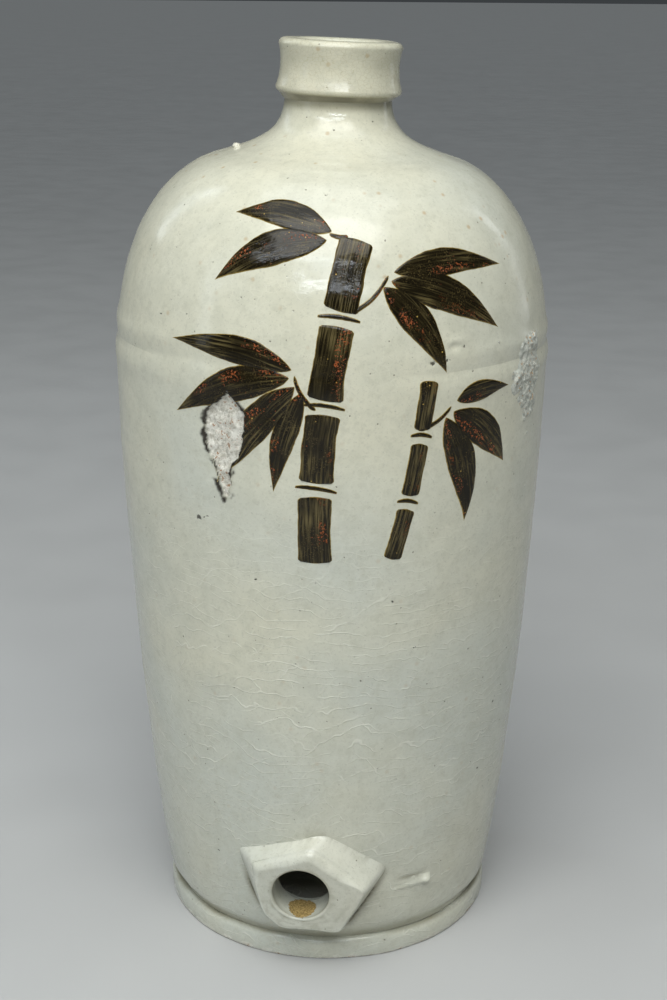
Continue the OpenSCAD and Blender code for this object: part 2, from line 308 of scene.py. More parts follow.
def outline_radius(points, theta, sharpness):
    """Distance from the bore's centre to a convex outline whose corners are rounded."""
    points = np.array(points, float)
    total = 0
    for a, b in zip(points, np.roll(points, -1, axis=0)):
        along = (b - a) / np.linalg.norm(b - a)
        normal = np.array([-along[1], along[0]])
        distance = normal @ a
        toward = normal[0] * np.cos(theta) + normal[1] * np.sin(theta)
        total = total + np.maximum(toward / distance, 0) ** sharpness
    return total ** (-1 / sharpness)


def boss_crease(az, r, z):
    """1 in the crease where the boss's steep sides meet the wall, fading to 0 on both sides."""
    x, up = r * np.sin(az), z - TAP_Z
    near = (np.cos(az) > 0.5) & (np.hypot(x, up) < 60)
    theta = np.arctan2(up, x)
    gap = np.hypot(x, up) - outline_radius(BOSS_FOOT, theta, 17)
    return np.where(near, bell(gap, 0.4, 1.4) * (1 - smooth(-0.25, 0.35, np.sin(theta))), 0)


def wall_points(az, s, lift=0):
    """Points on the bottle's outer face, with its relief, at azimuths az and arc lengths s."""
    r, z, nr, nz = PROFILE.at(s)
    height = relief(az, s) + lift
    return leaned(around(r + nr * height, az, z + nz * height))


# ---- meshes

def add_object(name, data):
    thing = bpy.data.objects.new(name, data)
    bpy.context.scene.collection.objects.link(thing)
    return thing


def new_piece(name, points, faces, material, node, values, uv=None):
    """A smooth-shaded piece in place of one CAD node, with named values for its vertices."""
    mesh = bpy.data.meshes.new(name)
    mesh.from_pydata((np.asarray(points) * MM).tolist(), [], faces)
    mesh.validate()
    for key, data in values.items():
        layer = mesh.attributes.new(key, "FLOAT", "POINT")
        layer.data.foreach_set("value", np.asarray(data, np.float32).ravel())
    if uv is not None:
        layer = mesh.uv_layers.new(name="stroke")
        loops = np.empty(len(mesh.loops), int)
        mesh.loops.foreach_get("vertex_index", loops)
        layer.data.foreach_set("uv", np.asarray(uv, np.float32)[loops].ravel())
    bm = bmesh.new()
    bm.from_mesh(mesh)
    bmesh.ops.recalc_face_normals(bm, faces=bm.faces)
    bm.to_mesh(mesh)
    bm.free()
    mesh.polygons.foreach_set("use_smooth", np.ones(len(mesh.polygons), bool))
    mesh.set_sharp_from_angle(angle=math.radians(50))
    piece = add_object(name, mesh)
    mesh.materials.append(material)
    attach(piece, "root")
    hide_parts(node)
    return piece


def loop_faces(rows, columns, closed_rows=True):
    """Quads of a grid that closes across its columns and, if asked, across its rows too."""
    faces = []
    for i in range(rows if closed_rows else rows - 1):
        a, b = i * columns, (i + 1) % rows * columns
        faces += [(a + j, a + (j + 1) % columns, b + (j + 1) % columns, b + j) for j in range(columns)]
    return faces


def sheet_solid(top, under):
    """The points and faces of a closed solid between two sheets of rows of points."""
    loops = np.concatenate([top, under[:, ::-1]], axis=1)
    rows, columns = loops.shape[:2]
    faces = loop_faces(rows, columns, closed_rows=False)
    faces += [tuple(range(columns))[::-1], tuple(range((rows - 1) * columns, rows * columns))]
    return loops.reshape(-1, 3), faces


def turned_piece(name, rows, material, node, slot, bare=0, pool_and_shade=0, **values):
    """A ring-shaped solid: rows is an array (rows, columns, 3) that closes both ways."""
    count, columns = rows.shape[:2]
    values = {"bare": bare, "pool_and_shade": pool_and_shade, **values}
    values = {key: np.broadcast_to(value, (count, columns)) for key, value in values.items()}
    return new_piece(name, rows.reshape(-1, 3), loop_faces(count, columns), material, node, values)


def outer_only(rows, values):
    """Values for every row of a turned piece, 0 on its inner face; values has those of the outer face."""
    whole = np.zeros(rows.shape[:2])
    whole[:len(values)] = values
    return whole


def columns_az(fine_from=None, fine_to=None, coarse=1.25, fine=0.35):
    """Azimuths of a turned piece's columns, closer together over one stretch."""
    az = np.arange(-180, 180, coarse)
    if fine_from is not None:
        az = az[(az < fine_from - coarse / 2) | (az > fine_to + coarse / 2)]
        az = np.sort(np.concatenate([az, np.arange(fine_from, fine_to, fine)]))
    return np.radians(az)


def spaced(stretches):
    """Positions along a line: each stretch is (start, end, step)."""
    parts = [np.linspace(a, b, max(2, int(round(abs(b - a) / step)) + 1))[:-1] for a, b, step in stretches]
    return np.concatenate(parts + [[stretches[-1][1]]])


def inner_rows(az, line):
    """Rows of the plain inner face through (radius, height) points."""
    line = np.asarray(line, float)
    r = line[:, 0][:, None] + 0.25 * noise(around(line[:, 0][:, None], az[None], line[:, 1][:, None]), 40)
    return leaned(around(r, az[None], line[:, 1][:, None]))


def offset_line(s, depth):
    r, z, nr, nz = PROFILE.at(s)
    return np.stack([r - nr * depth, z - nz * depth], -1)


def lower_wall(material):
    heel_end, chip_low, chip_high = FOOT_H + 9, 208, 256
    z_rows = spaced([(heel_end, chip_low, 1.6), (chip_low, chip_high, 0.5), (chip_high, SEAM_Z, 1.2)])
    s = np.concatenate([spaced([(0, float(PROFILE.s_at(heel_end)), 0.9)])[:-1], PROFILE.s_at(z_rows)])
    s[-1] = SEAM_S
    az = columns_az(-29.5, -9)
    outer = wall_points(az[None], s[:, None])
    inside = offset_line(PROFILE.s_at(np.linspace(SEAM_Z, 30, 22)), WALL_T)
    floor = [(FLOOR_R + 2.6, 20), (FLOOR_R + 0.8, FLOOR_Z + 1), (FLOOR_R - 0.2, FLOOR_Z - 2),
             (FLOOR_R, FOOT_H)]
    inner = inner_rows(az, np.vstack([inside, floor]))
    rows = np.concatenate([outer, inner])
    place = az[None], s[:, None]
    wall = turned_piece("lower_wall_glazed", rows, material, "lower_wall", "pale_glaze",
                        outer_only(rows, smooth(0.05, 0.45, chip_inside(*place))),
                        outer_only(rows, wall_stain_and_shade(*place)), dark=outer_only(rows, chip_rim(*place)))
    cut_hole(wall, CUT_R)


def wall_stain_and_shade(az, s):
    """Stains and painted shade: thicker glaze and painted shade in the groove over the foot, painted shade in
    the crease round the boss and in the scratch by the clay smear, and stains in drips over the boss and round
    the chip.
    """
    r, z, _, _ = PROFILE.at(s)
    p = around(r, az, z)
    across = BODY_R * span(az, 0)
    groove = (1 - smooth(RIM_Z, RIM_Z + 6, z)) * smooth(-1.2, 0.4, noise(p, 30, 2)) * 0.85
    drips = smooth(0.05, 0.45, noise_line(across, 3.2, 6)) * bell(z - TAP_Z, 24, 3)
    drips = drips * smooth(24, 14, np.abs(across + 3))
    inside = chip_inside(az, s)
    halo = 0.45 * smooth(-2.6, -0.2, inside) * smooth(-0.5, 0.5, noise(p, 4, 2))
    halo = halo + 1.6 * bell(inside, -0.1, 0.4) * smooth(-0.1, 0.25, noise(p, 7, 2))
    # painted shade in the scratch and, below, in the crease round the boss
    scratch = -1.6 * smear_groove(az, r, z)
    return np.clip(groove + 0.4 * drips + halo + scratch + 1.35 * boss_crease(az, r, z), 0, 1.7)


def cut_hole(piece, radius):
    """Cuts the wall through along the tap hole's axis."""
    bm = bmesh.new()
    bmesh.ops.create_cone(bm, cap_ends=True, segments=96, radius1=radius * MM, radius2=radius * MM, depth=0.06)
    bm.transform(Matrix.Translation((0, -0.075, TAP_Z * MM)) @ Matrix.Rotation(math.pi / 2, 4, "X"))
    mesh = bpy.data.meshes.new("cutter")
    bm.to_mesh(mesh)
    bm.free()
    cutter = add_object("cutter", mesh)
    cut = piece.modifiers.new("cut", "BOOLEAN")
    cut.operation, cut.solver, cut.object = "DIFFERENCE", "MANIFOLD", cutter
    bpy.context.view_layer.update()
    result = bpy.data.meshes.new_from_object(piece.evaluated_get(bpy.context.evaluated_depsgraph_get()))
    piece.modifiers.clear()
    piece.data = result
    bpy.data.objects.remove(cutter)


def shoulder_wall(material):
    dense_to = float(PROFILE.s_at(276))
    s = spaced([(SEAM_S, dense_to, 0.8), (dense_to, OPENING_S, 1.6)])
    az = columns_az(30, 45, fine=0.5)
    outer = wall_points(az[None], s[:, None])
    depth = mix(NECK_T, WALL_T, np.linspace(0, 1, 20))
    inner = inner_rows(az, offset_line(np.linspace(OPENING_S, SEAM_S, 20), depth))
    rows = np.concatenate([outer, inner])
    turned_piece("shoulder_wall_glazed", rows, material, "shoulder_wall", "pale_glaze")


def neck_tube(material):
    s = spaced([(OPENING_S, COLLAR_S, 0.9)])
    az = columns_az(coarse=2)
    outer = wall_points(az[None], s[:, None])
    lip_z = TOTAL_H - LIP_T
    tube = np.array([(TUBE_R, COLLAR_Z + 1), (TUBE_R, lip_z - 8), (TUBE_R, lip_z), (MOUTH_R, lip_z),
                     (MOUTH_R, lip_z - 7), (MOUTH_R, COLLAR_Z + 5), (MOUTH_R, COLLAR_Z - 3)])
    tube = leaned(around(tube[:, :1], az[None], tube[:, 1:]))
    inside = offset_line(np.linspace(COLLAR_S - 8, OPENING_S, 16), NECK_T)
    rows = np.concatenate([outer, tube, inner_rows(az, inside)])
    shade = outer_only(rows, 0.95 * smooth(COLLAR_S - 5, COLLAR_S - 1.2, s)[:, None])
    turned_piece("neck_glazed", rows, material, "neck_tube", "pale_glaze", pool_and_shade=shade)


def mouth_collar(material):
    """The band round the mouth, slightly tilted, with a bead below, a hollow waist and a rounded lip."""
    flare_r, waist_r = BEAD_R - 0.7, BEAD_R - 1.7
    waist = [(BEAD_R - 0.6, COLLAR_Z + 6), (waist_r, COLLAR_Z + 9), (waist_r - 0.3, COLLAR_Z + 16),
             (flare_r, TOTAL_H - 2.8)]
    under = [(NECK_R - 0.2, COLLAR_Z - 0.5), (NECK_R + 1.2, COLLAR_Z + 0.4), (BEAD_R - 2.6, COLLAR_Z + 1.3),
             (BEAD_R - 0.95, COLLAR_Z + 2.15)]
    line = np.vstack([
        [(TUBE_R, COLLAR_Z - 0.6), (NECK_R - 1, COLLAR_Z - 0.7)],
        bezier(under, np.linspace(0, 1, 10)),
        arc((BEAD_R - 1.9, COLLAR_Z + 3.8), 1.9, -60, 12, 9),
        bezier(waist, np.linspace(0.08, 1, 18)),
        arc((flare_r - 2.4, TOTAL_H - 2.6), 2.5, 8, 80, 10),
        [(flare_r - 3.2, TOTAL_H + 0.1), (MOUTH_R + 4.6, TOTAL_H + 0.05)],
        arc((MOUTH_R + 3.2, TOTAL_H - 3.2), 3.2, 80, 180, 10),
        [(MOUTH_R, TOTAL_H - LIP_T + 0.2), (TUBE_R, TOTAL_H - LIP_T)]])
    az = columns_az(coarse=1.5)
    r, z = line[:, :1], line[:, 1:]
    p = around(r, az[None], z)
    wobble = 0.16 * noise(p, 14, 2) + 0.1 * noise(p * (0.3, 0.3, 1), 3.5)
    outside = smooth(TUBE_R + 1, TUBE_R + 3, r)
    ripple = 0.25 * noise_line(az * 12, 9, 9)[None] * smooth(COLLAR_Z + 14, TOTAL_H, z)
    p = around(r + wobble * outside, az[None], z + (ripple + 0.12 * noise(p, 17)) * outside)
    cos, sin = math.cos(COLLAR_TILT), math.sin(COLLAR_TILT)
    rise = p[..., 2] - COLLAR_Z
    p = xyz(p[..., 0] * cos + rise * sin * outside, p[..., 1],
            COLLAR_Z + rise * cos - p[..., 0] * sin * smooth(COLLAR_Z, COLLAR_Z + 2.5, z))
    patchy = smooth(-0.9, 0.5, noise(p, 16, 2))
    # a darker band round the hollow waist, and painted shade under the bead that turns near black in the
    # crease
    waist = 0.35 * bell(z - COLLAR_Z, 15.5, 3.5) * patchy
    pool_and_shade = (waist + smooth(COLLAR_Z + 3.1, COLLAR_Z + 1.7, z) * mix(0.75, 1.15, patchy)) * outside
    turned_piece("mouth_collar_glazed", leaned(p), material, "mouth_collar", "collar_glaze", pool_and_shade=pool_and_shade)


def foot_ring(material):
    rim_r = FOOT_R - 0.2
    line = np.vstack([
        spaced([(FOOT_IN_R + 0.8, rim_r - 1.5, 1.4)])[:, None] * (1, 0),
        arc((rim_r - 1.3, 1.2), 1.2, -80, -5, 8),
        [(rim_r + 0.1, 3), (rim_r + 0.1, 4.6)],
        arc((rim_r - 3, RIM_Z - 3), 3, 10, 88, 10),
        [(rim_r - 3.3, RIM_Z - 0.1), (rim_r - 4.2, FOOT_H + 1.2), (rim_r - 5.4, FOOT_H), (FOOT_IN_R, FOOT_H),
         (FOOT_IN_R, 3.5), (FOOT_IN_R + 0.15, 0.8)]])
    az = columns_az(coarse=1)
    r, z = line[:, :1], line[:, 1:]
    p = around(r, az[None], z)
    edge = smooth(FOOT_R - 8, FOOT_R - 1, r)
    top = smooth(2.5, RIM_Z, z)
    out = (0.28 * noise(p * (1, 1, 0.4), 26, 2) + 0.1 * noise(p, 5)) * edge
    up = (0.45 * noise(p, 34) + 0.12 * noise(p, 7)) * edge * top
    rough = 0.1 * noise(p, 2.5) * (1 - smooth(0, 0.6, z))
    rows = around(r + out, az[None], np.maximum(z + up + np.maximum(rough, 0), 0))
    bare = 1 - smooth(0.5, 1.3, z + 0.5 * noise(p, 6))
    bare = bare + smooth(FOOT_R - 12, FOOT_R - 13, r) * smooth(0, 1, z)
    # darker on the flange top next to the groove: thicker glaze and painted shade
    pool_and_shade = smooth(FOOT_H, RIM_Z, z) * smooth(FOOT_R, FOOT_R - 2, r) * smooth(-0.3, 0.6, noise(p, 25))
    turned_piece("foot_ring_glazed", rows, material, "foot_ring", "pale_glaze", np.clip(bare, 0, 1), pool_and_shade)


def base_disc(material):
    """The slab that closes the bottom, with the marks of the wire that cut it from the wheel."""
    r = np.concatenate([spaced([(1.5, FOOT_IN_R - 0.05, 1.5)]), [FOOT_IN_R, FLOOR_R - 0.1, FLOOR_R],
                        spaced([(FLOOR_R - 1, 2, 6)])])
    under = int(np.argmax(r >= FOOT_IN_R - 0.06)) + 1
    z = np.concatenate([np.full(under, RECESS), [FOOT_H, FOOT_H, FLOOR_Z - 0.6],
                        np.full(len(r) - under - 3, FLOOR_Z)])
    az = columns_az(coarse=3)
    p = around(r[:, None], az[None], z[:, None])
    shell = np.hypot(p[..., 0] - 18, p[..., 1] + 30)
    wire = 0.22 * np.sin(shell / 1.7 + 2 * noise(p, 30)) + 0.3 * noise(p, 12, 2)
    lower = (np.arange(len(r)) < under - 1)[:, None]
    p[..., 2] += np.where(lower, wire, 0.15 * noise(p, 20) * (z[:, None] > FLOOR_Z - 0.1))
    points = np.vstack([p.reshape(-1, 3), [[0, 0, RECESS], [0, 0, FLOOR_Z]]])
    columns, rows = len(az), len(r)
    faces = loop_faces(rows, columns, closed_rows=False)
    last, centre = (rows - 1) * columns, rows * columns
    faces += [(centre, (j + 1) % columns, j) for j in range(columns)]
    faces += [(centre + 1, last + j, last + (j + 1) % columns) for j in range(columns)]
    bare = np.concatenate([np.repeat(lower[:, 0], columns).astype(float), [1, 0]])
    new_piece("base_disc_clay", points, faces, material, "base_disc",
              {"bare": bare, "pool_and_shade": 0 * bare})


# ---- tap boss

def ring_noise(theta, size, seed):
    """Noise along a closed loop, with `size` features or so around it."""
    return noise(xyz(size * np.cos(theta), size * np.sin(theta), seed * 9.1), 3, 2)


def wall_depth(x, z):
    """How far the wall's outer face lies towards -Y at (x, z)."""
    r, _, nr, _ = PROFILE.at(PROFILE.s_at(z))
    az = np.arcsin(np.clip(x / r, -0.9, 0.9))
    r = r + relief(az, PROFILE.s_at(z)) * nr
    return np.sqrt(np.maximum(r * r - x * x, 1))


def tap_boss(material):
    """The five-sided boss, as rings that run out through the bore and back over its face and sides."""
    theta = np.linspace(0, 2 * math.pi, 288, endpoint=False)
    cos, sin = np.cos(theta), np.sin(theta)
    face_rho = outline_radius(BOSS_FACE, theta, 22) + 0.3 * ring_noise(theta, 6, 2)
    foot_rho = outline_radius(BOSS_FOOT, theta, 17) + 0.4 * ring_noise(theta, 5, 5)
    roof = smooth(0.15, 0.5, sin)

    def x_z(rho):
        return rho * cos, TAP_Z + rho * sin

    def face_reach(z):
        return BOSS_REACH + (z - TAP_Z) * math.tan(WALL_TILT)

    def on_face(rho, sink):
        x, z = x_z(rho)
        p = xyz(x, 0, z)
        return xyz(x, -(face_reach(z) - sink + 0.3 * noise(p, 22, 2) + 0.05 * noise(p, 5)), z)

    def over_wall(rho, height):
        x, z = x_z(rho)
        return xyz(x, -(wall_depth(x, z) + height), z)

    inner = offset_line(np.linspace(20, 60, 30), WALL_T)
    inner_r = np.interp(TAP_Z, inner[:, 1], inner[:, 0])
    rings, bare, pool_and_shade = [], [], []

    def add(ring, is_bare=0, pool_and_shade_value=0):
        rings.append(ring)
        bare.append(np.broadcast_to(is_bare, theta.shape))
        pool_and_shade.append(np.broadcast_to(pool_and_shade_value, theta.shape))

    def tunnel(rho, y):
        wander = 0.18 * noise(xyz(cos * 8, sin * 8, y), 7)
        return xyz((rho + wander) * cos, -y, TAP_Z + (rho + wander) * sin)

    # the bore, from its flange inside the wall to the rounded edge in the face
    flange_r, bore_round = TAP_R + 3, 1
    add(tunnel(flange_r, inner_r - 0.5))
    add(tunnel(CUT_R, inner_r - 0.8))
    add(tunnel(TAP_R + 0.3, inner_r - 0.2))
    across = TAP_R * span(theta, -math.pi / 2 - 0.04)
    for y in np.linspace(inner_r + 0.6, BOSS_REACH - 1.8, 30):
        spot = np.hypot(across / 6.4, (y - BOSS_REACH + 9) / 7.4) + 0.12 * ring_noise(theta, 30, y)
        add(tunnel(TAP_R, y), -smooth(1, 0.86, spot), 0.55 * smooth(BOSS_REACH - 5, BOSS_REACH - 1.5, y))
    for turn in np.radians(np.linspace(10, 90, 6)):
        out, sink = bore_round * (1 - math.cos(turn)), bore_round * (1 - math.sin(turn))
        add(on_face(TAP_R + out, sink), 0, 0.5 + 0.3 * sin)
    # the face, its rounded edge, and the sides down to the wall, with painted shade on the sides and underside
    edge_r = mix(1.4, 4.4, roof)
    for q in np.linspace(0.06, 1, 16):
        # a stain ring round the bore; past it the face is darker overall and darker still towards the bottom
        face_stain_and_darkening = 0.5 * (1 - smooth(0, 0.35, q)) * smooth(-0.4, 0.5, ring_noise(theta, 9, 3))
        face_stain_and_darkening = face_stain_and_darkening + 0.24 + 0.3 * smooth(-0.2, 0.6, ring_noise(theta, 14, 4 + q)) * smooth(0.3, -0.5, sin)
        add(on_face(mix(TAP_R + bore_round, face_rho - edge_r, q), 0.15 * (1 - q)), 0, face_stain_and_darkening)
    x, z = x_z(face_rho)
    height = face_reach(z) - wall_depth(x, z)
    edge_end = math.radians(70)
    for turn in np.linspace(math.radians(14), edge_end, 6):
        add(on_face(face_rho - edge_r * (1 - math.sin(turn)), edge_r * (1 - math.cos(turn))))
    start = edge_r * (1 - math.cos(edge_end))
    for q in np.linspace(0.05, 1, 20):
        rho = mix(face_rho, foot_rho, q ** mix(1, 0.95, roof))
        fall = mix(q, mix(q, smooth(0, 1, q), 0.6), roof)
        settle = (height - start) * (1 - fall) - 0.25 * (1 - roof) * smooth(0.85, 1, q)
        streaks = smooth(0.15, 0.5, ring_noise(theta, 24, 7)) * roof * smooth(0.4, 1, q)
        # painted shade on the boss's sides and underside, darkest near the wall, with glaze streaks on the
        # roof
        side = (1 - smooth(-0.15, 0.4, sin)) * (0.35 * smooth(0.1, 0.6, q) + 1.2 * smooth(0.6, 1, q))
        add(over_wall(rho, settle), 0, side + 0.35 * streaks)
    # painted shadow in the crease under and beside the boss
    add(over_wall(foot_rho + 0.8, -0.35), 0, 1.4 * (1 - smooth(-0.15, 0.4, sin)) + 0.2)
    add(over_wall(foot_rho + 0.4, -2.5))
    add(over_wall(mix(foot_rho, flange_r, 0.6), -4.5))
    turned_piece("tap_boss_glazed", np.stack(rings), material, "tap_boss", "pale_glaze",
                 np.stack(bare), np.stack(pool_and_shade))


# ---- painted bamboo

CULM = [(-8, 185), (8, 314), 5, [0, 0.25, 0.5, 0.76, 1], 13]
THIN_CULM = [(21, 186), (35, 262), -2, [0, 0.34, 0.68, 1], 7]
JOINT_GAP, RING_W, TWIG_W = 5, 2, 2.2
# Each leaf is base, tip, width and bow, in the painting's flat coordinates
LEAVES = [
    ((21, 300), (64, 300), 10, 3), ((20, 297), (63, 277), 13, 4), ((17, 295), (42, 262), 12, 3),
    ((-17, 264), (-63, 270), 11, -3), ((-18, 261), (-62, 243), 13, -4), ((-16, 258), (-46, 217), 13, -3),
    ((-13, 256), (-24, 216), 10, -2), ((-2, 314), (-38, 318), 10, -3), ((-4, 311), (-46, 294), 12, -4),
    ((46, 250), (68, 252), 9, 2), ((45, 246), (67, 221), 13, 3), ((42, 244), (51, 200), 12, 3)]
TWIGS = [((6, 286), (19, 299), -1.5), ((-8, 249), (-16, 262), 1.5), ((4, 312), (-3, 313), 0.5),
         ((31, 240), (44, 248), -1.5)]


def left_of(v):
    return np.array([-v[1], v[0]]) / np.linalg.norm(v)


def bowed(a, b, bow, t):
    a, b, t = np.array(a, float), np.array(b, float), np.asarray(t, float)[..., None]
    return a + t * (b - a) + 4 * bow * t * (1 - t) * left_of(b - a)


def painted_az_s(flat):
    """Azimuth and arc length on the bottle of the painting's flat (across, height) points."""
    s = PROFILE.s_at(flat[..., 1])
    r = PROFILE.at(s)[0]
    shift = np.maximum(flat[..., 1] - SEAM_Z, 0) * math.sin(LEAN)
    return PAINT_TURN + np.arcsin(np.clip((flat[..., 0] - shift) / r, -0.98, 0.98)), s


def brush_stroke(a, b, bow, half_width, thickness, seed, dry):
    """One closed, slightly raised stroke of glaze: points, faces and values for its vertices."""
    length = np.linalg.norm(np.subtract(b, a))
    count = max(10, int(length / 0.7))
    t = 0.5 - 0.5 * np.cos(np.linspace(0, math.pi, count)) if length < 20 else np.linspace(0, 1, count)
    half = half_width(t) * (1 + 0.05 * noise_line(t * length, 7, seed, 2))
    v = np.sin(np.linspace(-math.pi / 2, math.pi / 2, 21))
    side = left_of(np.subtract(b, a))
    lean_out = 0.25 * noise_line(t * length, 9, seed + 0.5)
    flat = bowed(a, b, bow, t)[:, None] + (v[None] * half[:, None] + lean_out[:, None])[..., None] * side
    az, s = painted_az_s(flat)
    ends = np.minimum(t, 1 - t) * length
    edge = np.minimum((1 - np.abs(v))[None] * half[:, None], ends[:, None] + 0.02)
    pooled = np.sqrt(np.clip(edge / 0.9, 0, 1))
    along = np.broadcast_to((t * length)[:, None], edge.shape)
    across = v[None] * half[:, None]
    streak = noise(xyz(along * 0.12, across * 1.1, seed * 7.7), 1, 2)
    lift = -0.1 + (thickness + 0.1) * pooled + 0.05 * streak * smooth(0.4, 1.2, edge)
    chipped = smooth(-0.5, 0.25, chip_inside(az, s))
    top = wall_points(az, s, mix(lift, -0.8, chipped))
    under = wall_points(az, s, mix(-0.35, -1.2, chipped))
    points, faces = sheet_solid(top, under[:, 1:-1])

    def whole(values):
        return np.concatenate([values, values[:, -2:0:-1]], axis=1)

    values = {"edge": whole(edge), "dry": whole(dry(t)[:, None] + 0 * edge),
              "side": whole(0 * half[:, None] + v[None])}
    uv = np.stack([whole(along + seed * 53), whole(across + seed * 19)], -1).reshape(-1, 2)
    return points, faces, values, uv


def painted_piece(name, strokes, material, node):
    """All strokes of one kind as one piece."""
    points, stroke_faces, stroke_values, uvs = zip(*strokes)
    starts = np.cumsum([0] + [len(p) for p in points])
    faces = [tuple(start + i for i in face)
             for start, part in zip(starts.tolist(), stroke_faces) for face in part]
    values = {key: np.concatenate([v[key].ravel() for v in stroke_values]) for key in stroke_values[0]}
    new_piece(name, np.vstack(points), faces, material, node, values, np.vstack(uvs))


def culm_strokes(culm, seed):
    """The lengths of a culm between its joints."""
    a, b, bow, joints, width = culm
    gap = JOINT_GAP / np.linalg.norm(np.subtract(b, a)) / 2
    strokes = []
    for i, (low, high) in enumerate(zip(joints[:-1], joints[1:])):
        start, end = bowed(a, b, bow, low + gap), bowed(a, b, bow, high - gap)
        length = np.linalg.norm(end - start)

        def half(t, length=length):
            corner = np.clip(np.minimum(t, 1 - t) * length / 2.2, 0.001, 1)
            return width / 2 * (1 + 0.1 * (2 * t - 1) ** 4) * (1 - (1 - corner) ** 2.6) ** 0.4

        strokes.append(brush_stroke(start, end, bow / 12, half, 0.34, seed + i, lambda t: 0.45 + 0.3 * t))
    return strokes


def ring_strokes(culm, seed):
    """The thin arched strokes across a culm's joints."""
    a, b, bow, joints, width = culm
    across = 0.62 * width * left_of(np.subtract(b, a))
    middles = [bowed(a, b, bow, joint) for joint in joints[1:-1]]

    def half(t):
        return RING_W / 2 * (0.35 + 0.65 * np.sin(math.pi * t) ** 0.4)

    return [brush_stroke(middle + across, middle - across, 0.8, half, 0.3, seed + i, lambda t: 0.1 * t)
            for i, middle in enumerate(middles)]


def leaf_strokes():
    def half(width):
        return lambda t: width / 2 * np.maximum(np.sin(math.pi * t ** 0.75), 0.02)

    return [brush_stroke(a, b, bow, half(width), 0.3 + 0.05 * (i % 3), 20 + i, lambda t: 0.15 + 0.7 * t * t)
            for i, (a, b, width, bow) in enumerate(LEAVES)]


def twig_strokes():
    def half(t):
        return TWIG_W / 2 * (1 - 0.3 * t) * np.clip(np.minimum(t, 1 - t) * 12, 0.15, 1) ** 0.5

    return [brush_stroke(a, b, bow, half, 0.28, 50 + i, lambda t: 0.2 + 0 * t)
            for i, (a, b, bow) in enumerate(TWIGS)]


# ---- clay left on the wall

def patch_piece(name, az0, z0, half_w, half_h, height, step, material, node):
    """A closed lump on the wall: height(across, up, points) is its rise over the wall, under 0 outside it."""
    across = np.linspace(-half_w, half_w, int(2 * half_w / step) + 1)
    up = np.linspace(-half_h, half_h, int(2 * half_h / step) + 1)
    a, u = np.meshgrid(across, up)
    s = PROFILE.s_at(z0) + u
    r, z, _, _ = PROFILE.at(s)
    az = math.radians(az0) + a / r
    rise = height(a, u, around(r, az, z))
    rim = np.ones_like(a, bool)
    rim[1:-1, 1:-1] = False
    top = wall_points(az, s, np.where(rim, -0.5, np.maximum(rise, -0.5)))
    points, faces = sheet_solid(top, wall_points(az, s, -0.9))
    blank = np.zeros(len(points))
    new_piece(name, points, faces, material, node, {"bare": blank, "pool_and_shade": blank})


def clay_smear(material):
    def height(a, u, p):
        ridge = u - 0.11 * a + 0.9
        body = mix(0.3, 0.85, smooth(-8, 7, a)) * bell(ridge, 0, mix(1.5, 1.9, smooth(-8, 7, a)))
        blob = 1.6 * np.exp(-(((a - 8.4) / 2) ** 2 + ((ridge - 0.3) / 1.9) ** 2) ** 1.5)
        end = smooth(11.2, 10.2, a + 0.4 * noise(p, 2.5)) * smooth(-11.5, -5, a)
        return (body + blob) * end + 0.12 * noise(p, 2.6, 2) - 0.2

    patch_piece("clay_smear_glazed", 34.5, 35, 12.5, 4.5, height, 0.3, material, "clay_smear")


# The crust's overlapping ovals: centre across and up, half width and half height
CRUST_BLOBS = [(4.2, 9.5, 10.2, 9.2), (0.3, -3, 14.2, 11), (2.5, -13, 8.5, 8)]


def kiln_crust(material):
    def height(a, u, p):
        a = a + 0.8 * noise(p, 9)
        blobs = [np.hypot((a - at_a) / half_w, (u - at_u) / half_h)
                 for at_a, at_u, half_w, half_h in CRUST_BLOBS]
        reach = np.min(blobs, axis=0) + 0.26 * noise(p, 5.5, 2)
        bowl = -0.7 * np.exp(-((a - 5) ** 2 + (u - 8) ** 2) / 8)
        lumps = 0.6 * noise(p, 3.4, 3) + 0.45 * noise(p, 1.6, 2)
        return (0.75 + lumps + bowl) * (1 - smooth(0.6, 1, reach)) - 0.15

    patch_piece("kiln_crust_fused", 66.7, 255, 15, 21, height, 0.45, material, "kiln_crust")


def shoulder_drip(material):
    bm = bmesh.new()
    bmesh.ops.create_icosphere(bm, subdivisions=4, radius=1)
    points = np.array([v.co for v in bm.verts])
    faces = [tuple(v.index for v in f.verts) for f in bm.faces]
    bm.free()
    low, high = corners_mm("shoulder_drip")
    size = (high - low) / 2
    bumpy = points * (1 + 0.14 * noise(points, 0.9, 2)[:, None])
    points = bumpy * (size[0] * 0.62, size[1] * 0.62, size[2] * 0.85) + (low + high) / 2 - (0, 0, 0.9)
    bare = np.full(len(points), 0.45)
    new_piece("shoulder_drip_glazed", points, faces, material, "shoulder_drip",
              {"bare": bare, "pool_and_shade": 0 * bare})


# ---- materials

